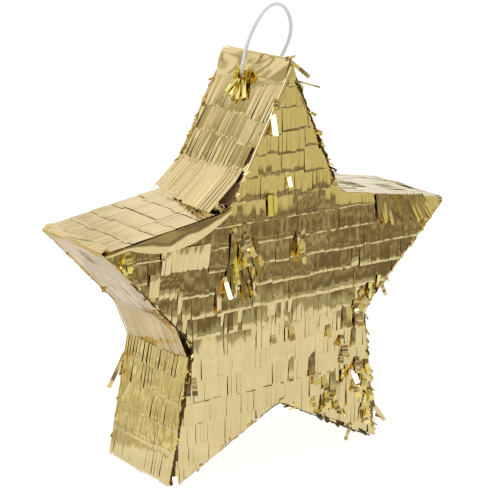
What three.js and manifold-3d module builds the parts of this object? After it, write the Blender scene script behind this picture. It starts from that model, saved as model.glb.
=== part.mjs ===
// A star pinata: a hollow cardboard star covered with rows of gold foil fringe, with a
// plastic hanging loop through its top arm and a hinged filler flap in its back.
// Millimetres, +Z up, -Y the front. The origin is on the floor under the middle of the star.
import * as THREE from "three";
import { mergeVertices } from "three/addons/utils/BufferGeometryUtils.js";
import Module from "manifold-3d";

const wasm = await Module();
wasm.setup();

// The star, measured over its foil
const TIP_RADIUS = 173.5;
const CORNER_RADIUS = 89;
const CORNER_ROUNDING = 16;
const DEPTH = 84;
const FOOT_TRIM = 2.5;

// The layers, from the outside in
const LOFT = 3;
const HEADER_LOFT = 1.3;
const BOARD = 2;
const GAP = 0.3;

// The fringe
const FACE_ROW = 16.5;
const BACK_ROWS_PER_BAND = 3;
const SIDE_ROW = 19;
const FLOOR_CLEARANCE = 0.6;
const RIDGE_CAP = 8;
const TOP_RIDGE_CAP = 23;

// The filler flap in the back
const HATCH_HALF_WIDTH = 32;
const HATCH_BAND = 2;
const HATCH_LIP = 2;
const FLAP_SIDE_GAP = 0.5;
const FLAP_FOOT_GAP = 0.8;

// The hanging loop and its knot
const CORD_RADIUS = 1.4;
const CORD_SIDES = 8;
const CORD_STEPS = 60;
const LOOP_Y = 4;
const LOOP_PIVOT_Z = 292;
const SLOT_HALF_HEIGHT = 6.2;
const SLOT_HALF_WIDTH = 6.8;
const KNOT_TOP = 277.2;
const KNOT_RADIUS = 3.2;
const KNOT_PITCH = 3.3;
const KNOT_TURNS = 2.4;
const KNOT_STEPS = 28;
const LOOP_ROUTE = [
  [-1.8, 277.6],
  [-2.4, 283],
  [-5.4, 289.6],
  [-9.3, 294.3],
  [-11.6, 299.6],
  [-10.4, 307.5],
  [-8.1, 317.3],
  [-3.8, 327.5],
  [2.4, 337.6],
  [9.2, 344.8],
  [18, 348.4],
  [26.2, 345.8],
  [31.8, 338.6],
  [34, 330],
  [32.6, 320.8],
  [28.9, 313.5],
  [24.6, 306.4],
  [18.6, 300.2],
  [11.2, 295.2],
  [5.4, 289.6],
  [2.4, 283],
  [1.8, 277.6],
];

// The foil tuft tied under the loop on the top arm
const TUFT_START = 29.6;
const TUFT_LENGTH = 11;
const TUFT_LOFT = 3.5;
const TUFT_HALF_WIDTH = 8;

// Derived sizes
const RADIAN = Math.PI / 180;
const TIP_STEP = 72 * RADIAN;
const HALF_STEP = TIP_STEP / 2;
const CENTRE_Z = TIP_RADIUS * Math.cos(HALF_STEP) - FOOT_TRIM;
const TIP_HALF_ANGLE = Math.atan2(
  CORNER_RADIUS * Math.sin(HALF_STEP),
  TIP_RADIUS - CORNER_RADIUS * Math.cos(HALF_STEP),
);
const CORNER_HALF_ANGLE = TIP_HALF_ANGLE + HALF_STEP;
const ARC_HALF_ANGLE = Math.PI / 2 - CORNER_HALF_ANGLE;
const ARC_STEPS = 4;
const HALF_DEPTH = DEPTH / 2;
const BOX_HALF_DEPTH = HALF_DEPTH - LOFT;
const TOP_Z = CENTRE_Z + TIP_RADIUS;
const BAND = FACE_ROW * BACK_ROWS_PER_BAND;
const HATCH_LOW = HATCH_BAND * BAND;
const HATCH_HIGH = HATCH_LOW + BAND;
const WIDE = 2 * TIP_RADIUS;

const TIPS = ["top", "left", "left_leg", "right_leg", "right"];
const WALLS = ["upper_left", "lower_left", "bottom", "lower_right", "upper_right"];
const SIDES = [
  { name: "top_arm_left", tip: 0, turn: 1 },
  { name: "top_arm_right", tip: 0, turn: -1 },
  { name: "left_arm_upper", tip: 1, turn: -1 },
  { name: "left_arm_lower", tip: 1, turn: 1 },
  { name: "left_leg_outer", tip: 2, turn: -1 },
  { name: "left_leg_inner", tip: 2, turn: 1 },
  { name: "right_leg_inner", tip: 3, turn: -1 },
  { name: "right_leg_outer", tip: 3, turn: 1 },
  { name: "right_arm_lower", tip: 4, turn: -1 },
  { name: "right_arm_upper", tip: 4, turn: 1 },
];

const pinata = new THREE.Group();
pinata.name = "pinata";

// Materials

function goldFoil(color) {
  return new THREE.MeshStandardMaterial({ color, roughness: 0.22, metalness: 1 });
}

function cardboard() {
  return new THREE.MeshStandardMaterial({ color: "#b08d5f", roughness: 0.9, metalness: 0 });
}

function whitePlastic() {
  return new THREE.MeshStandardMaterial({ color: "#eceef0", roughness: 0.4, metalness: 0 });
}

function addMesh(name, geometry, material) {
  const mesh = new THREE.Mesh(geometry, material);
  mesh.name = name;
  pinata.add(mesh);
}

// Solids

function toSolid(geometry) {
  const bare = geometry.clone();
  bare.deleteAttribute("normal");
  bare.deleteAttribute("uv");
  const merged = mergeVertices(bare, 1e-4);
  return new wasm.Manifold(
    new wasm.Mesh({
      numProp: 3,
      vertProperties: new Float32Array(merged.attributes.position.array),
      triVerts: new Uint32Array(merged.index.array),
    }),
  );
}

function toGeometry(solid) {
  const mesh = solid.getMesh();
  const geometry = new THREE.BufferGeometry();
  geometry.setAttribute("position", new THREE.BufferAttribute(mesh.vertProperties, 3));
  geometry.setIndex(new THREE.BufferAttribute(mesh.triVerts, 1));
  const faceted = geometry.toNonIndexed();
  faceted.computeVertexNormals();
  return faceted;
}

// A flat outline in X and Z, given thickness in Y.
function slab(points, yLow, yHigh) {
  const geometry = new THREE.ExtrudeGeometry(new THREE.Shape(points), {
    depth: yHigh - yLow,
    bevelEnabled: false,
  });
  geometry.rotateX(Math.PI / 2);
  geometry.translate(0, yHigh, 0);
  return geometry;
}

// A flat outline in Y and Z, given length in X.
function beam(points, xLow, xHigh) {
  const geometry = new THREE.ExtrudeGeometry(new THREE.Shape(points), {
    depth: xHigh - xLow,
    bevelEnabled: false,
  });
  const turn = new THREE.Matrix4().makeBasis(
    new THREE.Vector3(0, 1, 0),
    new THREE.Vector3(0, 0, 1),
    new THREE.Vector3(1, 0, 0),
  );
  geometry.applyMatrix4(turn);
  geometry.translate(xLow, 0, 0);
  return geometry;
}

function block(xLow, xHigh, yLow, yHigh, zLow, zHigh) {
  const geometry = new THREE.BoxGeometry(xHigh - xLow, yHigh - yLow, zHigh - zLow);
  geometry.translate((xLow + xHigh) / 2, (yLow + yHigh) / 2, (zLow + zHigh) / 2);
  return geometry;
}

function cord(curve, steps) {
  const section = new THREE.Shape();
  for (let side = 0; side < CORD_SIDES; side += 1) {
    const angle = (side / CORD_SIDES) * 2 * Math.PI;
    const x = CORD_RADIUS * Math.cos(angle);
    const y = CORD_RADIUS * Math.sin(angle);
    if (side === 0) {
      section.moveTo(x, y);
    } else {
      section.lineTo(x, y);
    }
  }
  section.closePath();
  return new THREE.ExtrudeGeometry(section, { steps, extrudePath: curve, bevelEnabled: false });
}

// The star's outline, set in by a distance from its foil

function polar(radius, angle) {
  return new THREE.Vector2(radius * Math.cos(angle), CENTRE_Z + radius * Math.sin(angle));
}

function tipAngle(tip) {
  return Math.PI / 2 + tip * TIP_STEP;
}

function tipPoint(tip, inset) {
  return polar(TIP_RADIUS - inset / Math.sin(TIP_HALF_ANGLE), tipAngle(tip));
}

// Points round the inner corner that is a half step on from the tip, from one share of its
// arc to another: 0 is the side of the tip it follows, 1 the side of the next.
function cornerArc(tip, inset, from = 0, to = 1) {
  const middle = tipAngle(tip) + HALF_STEP;
  const centre = polar(CORNER_RADIUS + CORNER_ROUNDING / Math.sin(CORNER_HALF_ANGLE), middle);
  const radius = CORNER_ROUNDING + inset;
  const points = [];
  for (let step = 0; step <= ARC_STEPS; step += 1) {
    const share = from + ((to - from) * step) / ARC_STEPS;
    const angle = middle + Math.PI + ARC_HALF_ANGLE * (1 - 2 * share);
    points.push(new THREE.Vector2(Math.cos(angle), Math.sin(angle)).multiplyScalar(radius).add(centre));
  }
  return points;
}

function starOutline(inset) {
  return TIPS.flatMap((_, tip) => [tipPoint(tip, inset), ...cornerArc(tip, inset)]);
}

// One straight edge of the star, from a tip towards the inner corner on one side of it.
function edgeFrom(tip, turn) {
  const start = tipPoint(tip, 0);
  const corner = polar(CORNER_RADIUS, tipAngle(tip) + turn * HALF_STEP);
  const along = corner.clone().sub(start);
  const length = along.length();
  along.normalize();
  const out = new THREE.Vector2(along.y, -along.x).multiplyScalar(turn);
  return { tip, turn, start, along, out, length };
}

function onEdge(edge, distance, inset) {
  return edge.start.clone().addScaledVector(edge.along, distance).addScaledVector(edge.out, -inset);
}

// The cardboard box

function loopSlot() {
  return toSolid(
    block(
      -WIDE,
      WIDE,
      LOOP_Y - SLOT_HALF_WIDTH,
      LOOP_Y + SLOT_HALF_WIDTH,
      LOOP_PIVOT_Z - SLOT_HALF_HEIGHT,
      LOOP_PIVOT_Z + SLOT_HALF_HEIGHT,
    ),
  );
}

function isTopArm(tip) {
  return tip === 0;
}

function capReach(tip) {
  return isTopArm(tip) ? TOP_RIDGE_CAP : RIDGE_CAP;
}

function withLoopSlot(solid, tip) {
  return isTopArm(tip) ? solid.subtract(loopSlot()) : solid;
}

function addPanels() {
  const outline = starOutline(LOFT);
  addMesh("front_panel", slab(outline, -BOX_HALF_DEPTH, BOARD - BOX_HALF_DEPTH), cardboard());
  const back = toSolid(slab(outline, BOX_HALF_DEPTH - BOARD, BOX_HALF_DEPTH));
  const hatch = toSolid(
    block(
      HATCH_LIP - HATCH_HALF_WIDTH,
      HATCH_HALF_WIDTH - HATCH_LIP,
      0,
      DEPTH,
      HATCH_LOW + HATCH_LIP,
      HATCH_HIGH - HATCH_LIP / 2,
    ),
  );
  addMesh("back_panel", toGeometry(back.subtract(hatch)), cardboard());
}

// A strip of board from one tip to the next, bent round the inner corner between them and
// mitred where it meets its neighbours at the tips.
function wallOutline(corner) {
  const next = (corner + 1) % TIPS.length;
  const mitre = (tip, turn, inset) => {
    const across = polar(1, tipAngle(tip) + (turn * Math.PI) / 2).sub(polar(0, 0));
    return tipPoint(tip, inset).addScaledVector(across, GAP / 2);
  };
  const inner = LOFT + BOARD;
  return [
    mitre(corner, 1, LOFT),
    ...cornerArc(corner, LOFT),
    mitre(next, -1, LOFT),
    mitre(next, -1, inner),
    ...cornerArc(corner, inner).reverse(),
    mitre(corner, 1, inner),
  ];
}

function addWalls() {
  const reach = BOX_HALF_DEPTH - BOARD - GAP;
  const topCorners = [0, TIPS.length - 1];
  WALLS.forEach((name, corner) => {
    const wall = slab(wallOutline(corner), -reach, reach);
    const slotted = topCorners.includes(corner);
    const solid = slotted ? toGeometry(toSolid(wall).subtract(loopSlot())) : wall;
    addMesh(`wall_${name}`, solid, cardboard());
  });
}

// The foil on the sides

// A strip of foil folded over a tip. The two lower ones are pressed flat by the floor.
function addRidgeCaps() {
  const inner = LOFT - GAP;
  TIPS.forEach((name, tip) => {
    const left = edgeFrom(tip, 1);
    const right = edgeFrom(tip, -1);
    const reach = capReach(tip);
    const outline = [
      onEdge(left, reach, inner),
      tipPoint(tip, inner),
      onEdge(right, reach, inner),
      onEdge(right, reach, 0),
      tipPoint(tip, 0),
      onEdge(left, reach, 0),
    ];
    const cap = toSolid(slab(outline, -BOX_HALF_DEPTH, BOX_HALF_DEPTH));
    const above = toSolid(block(-WIDE, WIDE, -DEPTH, DEPTH, 0, WIDE));
    const solid = withLoopSlot(cap.intersect(above), tip);
    addMesh(`ridge_foil_${name}`, toGeometry(solid), goldFoil("#d9c583"));
  });
}

// The outline of one side's fringe: rows lapped like shingles along the straight of the
// edge, each proud at its lower end, then plain foil round half of the inner corner.
function sideOutline(edge) {
  const inner = LOFT - GAP;
  const first = capReach(edge.tip) + GAP;
  const last = edge.length - CORNER_ROUNDING / Math.tan(CORNER_HALF_ANGLE);
  const rows = Math.round((last - first) / SIDE_ROW);
  const pitch = (last - first) / rows;
  const climbs = edge.along.y > 0;
  const points = [onEdge(edge, first, inner)];
  for (let row = 0; row < rows; row += 1) {
    const near = first + row * pitch;
    points.push(onEdge(edge, near, climbs ? 0 : LOFT - HEADER_LOFT));
    points.push(onEdge(edge, near + pitch, climbs ? LOFT - HEADER_LOFT : 0));
  }
  return [...points, ...halfCorner(edge, 0), ...halfCorner(edge, inner).reverse()];
}

// The half of an inner corner's arc that is on one edge's side, stopping short of the middle.
function halfCorner(edge, inset) {
  const short = GAP / 2 / (CORNER_ROUNDING + inset) / (2 * ARC_HALF_ANGLE);
  const onward = edge.turn > 0;
  const corner = onward ? edge.tip : (edge.tip + TIPS.length - 1) % TIPS.length;
  const from = onward ? 0 : 1;
  const to = onward ? 0.5 - short : 0.5 + short;
  return cornerArc(corner, inset, from, to);
}

function withoutRepeats(points) {
  return points.filter((point, index) => index === 0 || point.distanceTo(points[index - 1]) > GAP / 10);
}

function addSideFringe() {
  SIDES.forEach(({ name, tip, turn }) => {
    const outline = withoutRepeats(sideOutline(edgeFrom(tip, turn)));
    const fringe = toSolid(slab(outline, -BOX_HALF_DEPTH, BOX_HALF_DEPTH));
    const solid = withLoopSlot(fringe, tip);
    addMesh(`side_fringe_${name}`, toGeometry(solid), goldFoil("#cdb873"));
  });
}

// The foil on the front and back

// The section of lapped rows on the front (facing -1) or the back (facing 1).
function rowSection(facing, low, rows, high) {
  const board = facing * (BOX_HALF_DEPTH + GAP);
  const proud = facing * HALF_DEPTH;
  const header = facing * (BOX_HALF_DEPTH + HEADER_LOFT);
  const top = high - GAP;
  const points = [new THREE.Vector2(board, low)];
  for (let row = 0; row < rows; row += 1) {
    const from = low + ((top - low) * row) / rows;
    const to = low + ((top - low) * (row + 1)) / rows;
    points.push(new THREE.Vector2(proud, from));
    points.push(new THREE.Vector2(header, to));
  }
  points.push(new THREE.Vector2(board, top));
  return points;
}

function faceRow(facing, low, rows, high, xLow, xHigh) {
  const face = toSolid(slab(starOutline(0), -HALF_DEPTH - GAP, HALF_DEPTH + GAP));
  const row = toSolid(beam(rowSection(facing, low, rows, high), xLow, xHigh));
  return toGeometry(row.intersect(face));
}

// A row below the fork of the legs is in two pieces, one on each leg.
function spans(high) {
  const fork = CENTRE_Z - CORNER_RADIUS + FOOT_TRIM;
  if (high > fork) {
    return [{ suffix: "", xLow: -WIDE, xHigh: WIDE }];
  }
  return [
    { suffix: "_left", xLow: -WIDE, xHigh: 0 },
    { suffix: "_right", xLow: 0, xHigh: WIDE },
  ];
}

function addFrontFringe() {
  const rows = Math.ceil(TOP_Z / FACE_ROW);
  for (let row = 0; row < rows; row += 1) {
    const low = Math.max(row * FACE_ROW, FLOOR_CLEARANCE);
    const high = (row + 1) * FACE_ROW;
    const number = String(row + 1).padStart(2, "0");
    spans(high).forEach(({ suffix, xLow, xHigh }) => {
      const solid = faceRow(-1, low, 1, high, xLow, xHigh);
      addMesh(`front_fringe_${number}${suffix}`, solid, goldFoil("#c8b26b"));
    });
  }
}

// The back's rows are kept in bands of three. The band with the hatch is in two pieces,
// one on each side of the flap.
function addBackFringe() {
  const bands = Math.floor(TOP_Z / BAND);
  for (let band = 0; band < bands; band += 1) {
    const low = Math.max(band * BAND, FLOOR_CLEARANCE);
    const isLast = band === bands - 1;
    const high = isLast ? TOP_Z : (band + 1) * BAND;
    const besideHatch = [
      { suffix: "_left", xLow: -WIDE, xHigh: -HATCH_HALF_WIDTH },
      { suffix: "_right", xLow: HATCH_HALF_WIDTH, xHigh: WIDE },
    ];
    const pieces = band === HATCH_BAND ? besideHatch : spans(high);
    const rows = Math.round((high - low) / FACE_ROW);
    pieces.forEach(({ suffix, xLow, xHigh }) => {
      const solid = faceRow(1, low, rows, high, xLow, xHigh);
      addMesh(`back_fringe_${band + 1}${suffix}`, solid, goldFoil("#c8b26b"));
    });
  }
}

function addFlap() {
  const halfWidth = HATCH_HALF_WIDTH - HATCH_LIP - FLAP_SIDE_GAP;
  const board = block(
    -halfWidth,
    halfWidth,
    BOX_HALF_DEPTH - BOARD,
    BOX_HALF_DEPTH,
    HATCH_LOW + HATCH_LIP + FLAP_FOOT_GAP,
    HATCH_HIGH - HATCH_LIP / 2 - FLAP_SIDE_GAP,
  );
  addMesh("filler_flap", board, cardboard());
  const edge = HATCH_HALF_WIDTH - FLAP_SIDE_GAP;
  const section = rowSection(1, HATCH_LOW + FLAP_SIDE_GAP / 2, BACK_ROWS_PER_BAND, HATCH_HIGH - GAP);
  addMesh("flap_fringe", beam(section, -edge, edge), goldFoil("#c8b26b"));
}

// The hanging loop

function addLoop() {
  const route = LOOP_ROUTE.map(([x, z]) => new THREE.Vector3(x, LOOP_Y, z));
  const curve = new THREE.CatmullRomCurve3(route, false, "centripetal");
  addMesh("hanging_loop", cord(curve, CORD_STEPS), whitePlastic());
}

// The loop's two ends, wound together inside the arm so that they can't pull out.
function addKnot() {
  const points = [];
  for (let step = 0; step <= KNOT_STEPS; step += 1) {
    const turns = (step / KNOT_STEPS) * KNOT_TURNS;
    const angle = turns * 2 * Math.PI;
    const z = KNOT_TOP - CORD_RADIUS - turns * KNOT_PITCH;
    const x = KNOT_RADIUS * Math.cos(angle);
    const y = LOOP_Y + KNOT_RADIUS * Math.sin(angle);
    points.push(new THREE.Vector3(x, y, z));
  }
  addMesh("loop_knot", cord(new THREE.CatmullRomCurve3(points), 2 * KNOT_STEPS), whitePlastic());
}

function addTuft() {
  const edge = edgeFrom(0, 1);
  const foot = TUFT_START + TUFT_LENGTH;
  const outline = [
    onEdge(edge, TUFT_START, -GAP),
    onEdge(edge, TUFT_START, -TUFT_LOFT / 2),
    onEdge(edge, foot, -TUFT_LOFT),
    onEdge(edge, foot, -GAP),
  ];
  const geometry = slab(outline, LOOP_Y - TUFT_HALF_WIDTH, LOOP_Y + TUFT_HALF_WIDTH);
  addMesh("loop_tuft", geometry, goldFoil("#d3a233"));
}

addPanels();
addWalls();
addRidgeCaps();
addSideFringe();
addFrontFringe();
addBackFringe();
addFlap();
addLoop();
addKnot();
addTuft();

export default pinata;
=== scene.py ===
# The looks of the star pinata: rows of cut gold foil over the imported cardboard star, its foil
# folds and tuft, its white hanging loop, a pale studio and the camera. Metres, in the packed
# part's frame, with -Y the front.
import math
import random

import bmesh
import bpy
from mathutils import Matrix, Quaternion, Vector


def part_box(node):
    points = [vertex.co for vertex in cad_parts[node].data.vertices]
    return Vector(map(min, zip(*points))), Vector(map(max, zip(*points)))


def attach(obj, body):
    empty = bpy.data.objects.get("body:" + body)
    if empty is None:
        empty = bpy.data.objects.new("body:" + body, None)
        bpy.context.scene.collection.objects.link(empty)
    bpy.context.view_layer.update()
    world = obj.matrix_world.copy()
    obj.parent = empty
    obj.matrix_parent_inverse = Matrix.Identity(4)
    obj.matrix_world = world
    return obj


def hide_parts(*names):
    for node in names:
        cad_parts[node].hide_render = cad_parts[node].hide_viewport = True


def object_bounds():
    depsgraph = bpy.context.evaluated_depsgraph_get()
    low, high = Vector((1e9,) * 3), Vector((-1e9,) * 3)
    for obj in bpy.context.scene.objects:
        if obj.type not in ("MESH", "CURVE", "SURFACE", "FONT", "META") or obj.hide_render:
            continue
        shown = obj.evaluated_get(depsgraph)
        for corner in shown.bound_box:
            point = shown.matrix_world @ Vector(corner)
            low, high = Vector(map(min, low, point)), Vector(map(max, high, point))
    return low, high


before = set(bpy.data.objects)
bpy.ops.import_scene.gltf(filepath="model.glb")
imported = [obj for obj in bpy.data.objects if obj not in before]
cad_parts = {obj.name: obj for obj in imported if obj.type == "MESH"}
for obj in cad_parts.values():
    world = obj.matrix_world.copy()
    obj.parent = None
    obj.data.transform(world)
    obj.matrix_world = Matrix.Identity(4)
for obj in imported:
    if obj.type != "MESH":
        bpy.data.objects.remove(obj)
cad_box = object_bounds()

MM = 0.001

# The star
TIPS = ("top", "left", "left_leg", "right_leg", "right")
TIP_RADIUS = (cad_box[1].x - cad_box[0].x) / 2 / math.cos(math.radians(18))
CORNER_RADIUS = 89 * MM
CORNER_ROUNDING = 16 * MM
CENTRE_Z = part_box("front_fringe_19")[1].z - TIP_RADIUS
BOARD_Y = -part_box("front_panel")[0].y
LOFT = 3 * MM
FACE_ROW = 16.5 * MM
SIDE_ROW = 19 * MM
RIDGE_CAP = 8 * MM
TOP_RIDGE_CAP = 23 * MM
CREST = 5 * MM
REAR_CREST = 2.4 * MM
BLUNT_TIPS = (1, 4)
BLUNT = 3.6 * MM
ARC_STEPS = 6
CREST_RUN = 15 * MM
TIP_STEP = math.radians(72)
HALF_STEP = TIP_STEP / 2
TIP_HALF_ANGLE = math.atan2(
    CORNER_RADIUS * math.sin(HALF_STEP), TIP_RADIUS - CORNER_RADIUS * math.cos(HALF_STEP)
)
CORNER_HALF_ANGLE = TIP_HALF_ANGLE + HALF_STEP
ARC_HALF_ANGLE = math.pi / 2 - CORNER_HALF_ANGLE

# The strips of foil
STRIP_LOW = 3.1 * MM
STRIP_HIGH = 5.6 * MM
STRIP_GAP = 0.14 * MM
SEAM = 0.03 * MM
FOIL = 0.09 * MM
HEADER_LIFT = 0.7 * MM
ROOT_LIFT = 1.2 * MM
HEM_LIFT = 1.9 * MM
HEM_CURL = 0.15 * MM
LEAST_LIFT = 0.3 * MM
TUCK = 4.5 * MM
OVERHANG = 2.6 * MM
SHORTEST = 0.8 * MM
TOP_INSET = 1.1 * MM
STATIONS = (0.0, 0.18, 0.38, 0.58, 0.76, 0.9, 0.95, 1.0)
CURL_START = 0.9
FLOOR_GAP = 0.8 * MM

# The camera
CAMERA_AZIMUTH = math.radians(-38.16)
CAMERA_ELEVATION = math.radians(15.67)
CAMERA_ROLL = math.radians(1.94)
CAMERA_DISTANCE = 1.3925
CAMERA_TARGET = Vector((-0.00123, 0, 0.16039))
CAMERA_LENS = 130.2

# Where a small bright softbox glints in lifted strips, its half width and its strength
GLINT_PLACE = Vector((1.19, -1.5, 0.83))
GLINT_HALF = 0.2
GLINT_STRENGTH = 5.0

# What the two lamps point at, and the room that the foil reflects
LIT_PLACE = Vector((0, 0, 0.15))
WALL_PALE = (1, 0.98, 0.98, 1)
WALL_DEEP = (0.5, 0.48, 0.34, 1)
GROUND_PALE = (0.92, 0.9, 0.68, 1)
GROUND_DEEP = (0.5, 0.47, 0.31, 1)
ROOM_DARK = (0.17, 0.145, 0.11, 1)
DARK_SIDE = (0.42, -0.9, 0.0)
OVERHEAD_GLOW = 0.3
FLOOR_Z = -0.6 * MM
CARD_Z = -0.4 * MM

# The hanging loop
CORD_DIAMETER = 2.8 * MM
LOOP_Y = 4 * MM
KNOT_TURNS = 2.4
LOOP_ROUTE_MM = [
    (-1.8, 277.6), (-2.4, 283), (-5.4, 289.6), (-9.3, 294.3), (-11.6, 299.6), (-10.4, 307.5),
    (-8.1, 317.3), (-3.8, 327.5), (2.4, 337.6), (9.2, 344.8), (18, 348.4), (26.2, 345.8),
    (31.8, 338.6), (34, 330), (32.6, 320.8), (28.9, 313.5), (24.6, 306.4), (18.6, 300.2),
    (11.2, 295.2), (5.4, 289.6), (2.4, 283), (1.8, 277.6),
]


# ---- node trees

class Tree:
    """A material's or the world's node tree, with one short call to add and wire a node."""

    def __init__(self, owner):
        owner.use_nodes = True
        self.nodes = owner.node_tree.nodes
        self.links = owner.node_tree.links

    def add(self, kind, inputs, **settings):
        node = self.nodes.new(f"ShaderNode{kind}")
        for key, value in settings.items():
            setattr(node, key, value)
        self.wire(node, inputs)
        return node

    def wire(self, node, inputs):
        for key, value in inputs.items():
            if isinstance(value, bpy.types.NodeSocket):
                self.links.new(value, node.inputs[key])
            else:
                node.inputs[key].default_value = value

    def paint(self, inputs):
        self.wire(self.nodes["Principled BSDF"], inputs)

    def place(self):
        """A point's place in the object's own frame, so that a pattern is the same in every pose."""
        return self.add("TexCoord", {}).outputs["Object"]

    def noise(self, vector, scale, detail=2.0):
        return self.add("TexNoise", {"Vector": vector, "Scale": scale, "Detail": detail}).outputs["Fac"]

    def smooth(self, value, low, high):
        inputs = {"Value": value, "From Min": low, "From Max": high}
        return self.add("MapRange", inputs, interpolation_type="SMOOTHSTEP").outputs["Result"]

    def mix(self, share, a, b):
        inputs = {"Factor": share, "A": a, "B": b}
        return self.add("Mix", inputs, data_type="RGBA").outputs["Result"]

    def maths(self, operation, a, b):
        return self.add("Math", {0: a, 1: b}, operation=operation).outputs[0]

    def bump(self, height, strength, distance):
        inputs = {"Height": height, "Strength": strength, "Distance": distance}
        return self.add("Bump", inputs).outputs["Normal"]


# ---- camera and studio

def link(made):
    bpy.context.scene.collection.objects.link(made)
    return made


def aim(made, place, direction, axis="-Z"):
    """Puts an object at a place, with one of its axes along a direction."""
    made.location = place
    made.rotation_mode = "QUATERNION"
    made.rotation_quaternion = direction.to_track_quat(axis, "Y")


def add_camera():
    data = bpy.data.cameras.new("camera")
    data.lens = CAMERA_LENS
    data.sensor_width = 36
    camera = link(bpy.data.objects.new("camera", data))
    flat = math.cos(CAMERA_ELEVATION)
    back = Vector((
        math.sin(CAMERA_AZIMUTH) * flat,
        -math.cos(CAMERA_AZIMUTH) * flat,
        math.sin(CAMERA_ELEVATION),
    ))
    aim(camera, CAMERA_TARGET + back * CAMERA_DISTANCE, -back)
    camera.rotation_quaternion @= Quaternion((0, 0, 1), CAMERA_ROLL)
    bpy.context.scene.camera = camera


def add_light(name, place, size, power):
    data = bpy.data.lights.new(name, "AREA")
    data.shape = "SQUARE"
    data.size = size
    data.energy = power
    light = link(bpy.data.objects.new(name, data))
    aim(light, place, LIT_PLACE - Vector(place))


def add_world():
    """A white room, darker at eye level in front of the star, with soft uneven walls elsewhere.
    Only mirror-like rays see it so; the camera sees plain white and soft light comes from all round."""
    world = bpy.data.worlds.new("studio")
    bpy.context.scene.world = world
    tree = Tree(world)
    tree.nodes.clear()
    ray = tree.add("TexCoord", {}).outputs["Generated"]
    height = tree.add("SeparateXYZ", {"Vector": ray}).outputs["Z"]

    stretched = tree.add("Mapping", {"Vector": ray, "Scale": (1, 1, 0.3)}).outputs["Vector"]
    patches = tree.smooth(tree.noise(stretched, 9, 3), 0.4, 0.58)
    level = tree.smooth(tree.maths("ABSOLUTE", height, 0.0), 0.52, 0.36)
    walls = tree.mix(tree.maths("MULTIPLY", patches, level), WALL_PALE, WALL_DEEP)

    facing = tree.add("VectorMath", {0: ray, 1: DARK_SIDE}, operation="DOT_PRODUCT")
    ahead = tree.smooth(facing.outputs["Value"], 0.1, 0.6)
    dark = tree.maths("MULTIPLY", ahead, tree.smooth(height, 0.36, 0.1))
    dark = tree.maths("MULTIPLY", dark, tree.smooth(patches, -0.6, 1.0))
    room = tree.mix(dark, walls, ROOM_DARK)
    ground = tree.mix(patches, GROUND_PALE, GROUND_DEEP)
    floor = tree.mix(tree.smooth(height, 0.0, -0.03), room, ground)

    path = tree.add("LightPath", {})
    even = tree.add("Background", {
        "Color": (1, 1, 1, 1),
        "Strength": tree.smooth(path.outputs["Is Camera Ray"], -1.0, 1.0),
    })
    lamp = tree.maths("MULTIPLY", tree.smooth(height, 0.7, 0.8), OVERHEAD_GLOW)
    around = tree.add("Background", {"Color": floor, "Strength": tree.maths("ADD", 1.0, lamp)})
    both = tree.add("MixShader", {
        0: path.outputs["Is Glossy Ray"],
        1: even.outputs[0],
        2: around.outputs[0],
    })
    tree.add("OutputWorld", {"Surface": both.outputs[0]})


def flat_panel(name, x_range, y_range, z, material):
    mesh = bpy.data.meshes.new(name)
    (x0, x1), (y0, y1) = x_range, y_range
    mesh.from_pydata([(x0, y0, z), (x1, y0, z), (x1, y1, z), (x0, y1, z)], [], [(0, 1, 2, 3)])
    mesh.materials.append(material)
    made = link(bpy.data.objects.new(name, mesh))
    return made


def floor_material():
    material = bpy.data.materials.new("floor")
    Tree(material).paint({
        "Base Color": (0.35, 0.35, 0.35, 1),
        "Roughness": 0.7,
        "Emission Color": (1, 1, 1, 1),
        "Emission Strength": 0.82,
    })
    return material


def card_material(name, pale, deep):
    """A glowing card in two tones, in large soft patches."""
    material = bpy.data.materials.new(name)
    tree = Tree(material)
    tree.nodes.clear()
    share = tree.smooth(tree.noise(tree.place(), 15), 0.36, 0.56)
    glow = tree.add("Emission", {"Color": tree.mix(share, (*pale, 1), (*deep, 1)), "Strength": 1.0})
    tree.add("OutputMaterial", {"Surface": glow.outputs[0]})
    return material


def glint_material():
    material = bpy.data.materials.new("glint_softbox")
    tree = Tree(material)
    tree.nodes.clear()
    glow = tree.add("Emission", {"Color": (1, 1, 1, 1), "Strength": GLINT_STRENGTH})
    tree.add("OutputMaterial", {"Surface": glow.outputs[0]})
    return material


def hide_all_but_reflections(card):
    card.visible_camera = False
    card.visible_diffuse = False
    card.visible_shadow = False


def add_glint():
    """The small bright softbox, facing the star."""
    span = (-GLINT_HALF, GLINT_HALF)
    glint = flat_panel("glint_softbox", span, span, 0, glint_material())
    aim(glint, GLINT_PLACE, CAMERA_TARGET - GLINT_PLACE, "Z")
    hide_all_but_reflections(glint)


def add_cards():
    """Glowing cards on the floor, seen only in reflections: a white table top, its dark edge, then a khaki
    floor.
    """
    cards = (
        ("table_top", (-0.5, 1.0), (-0.36, 0.08), (0.95, 0.95, 0.95), (0.88, 0.88, 0.86)),
        ("table_back", (-0.16, 1.0), (0.08, 0.8), (0.85, 0.8, 0.82), (0.7, 0.66, 0.66)),
        ("table_left", (-0.8, -0.16), (0.08, 0.9), (0.98, 0.97, 0.77), (0.6, 0.57, 0.4)),
        ("table_edge", (-0.62, 1.4), (-0.42, -0.36), (0.6, 0.62, 0.5), (0.4, 0.4, 0.3)),
        ("table_shade", (-0.62, 1.8), (-0.86, -0.42), (0.46, 0.42, 0.3), (0.19, 0.155, 0.11)),
        ("far_floor", (-0.62, 3.2), (-3.2, -0.86), (0.78, 0.76, 0.5), (0.66, 0.64, 0.38)),
    )
    for name, x_range, y_range, pale, deep in cards:
        card = flat_panel(name, x_range, y_range, CARD_Z, card_material(name, pale, deep))
        hide_all_but_reflections(card)


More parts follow.
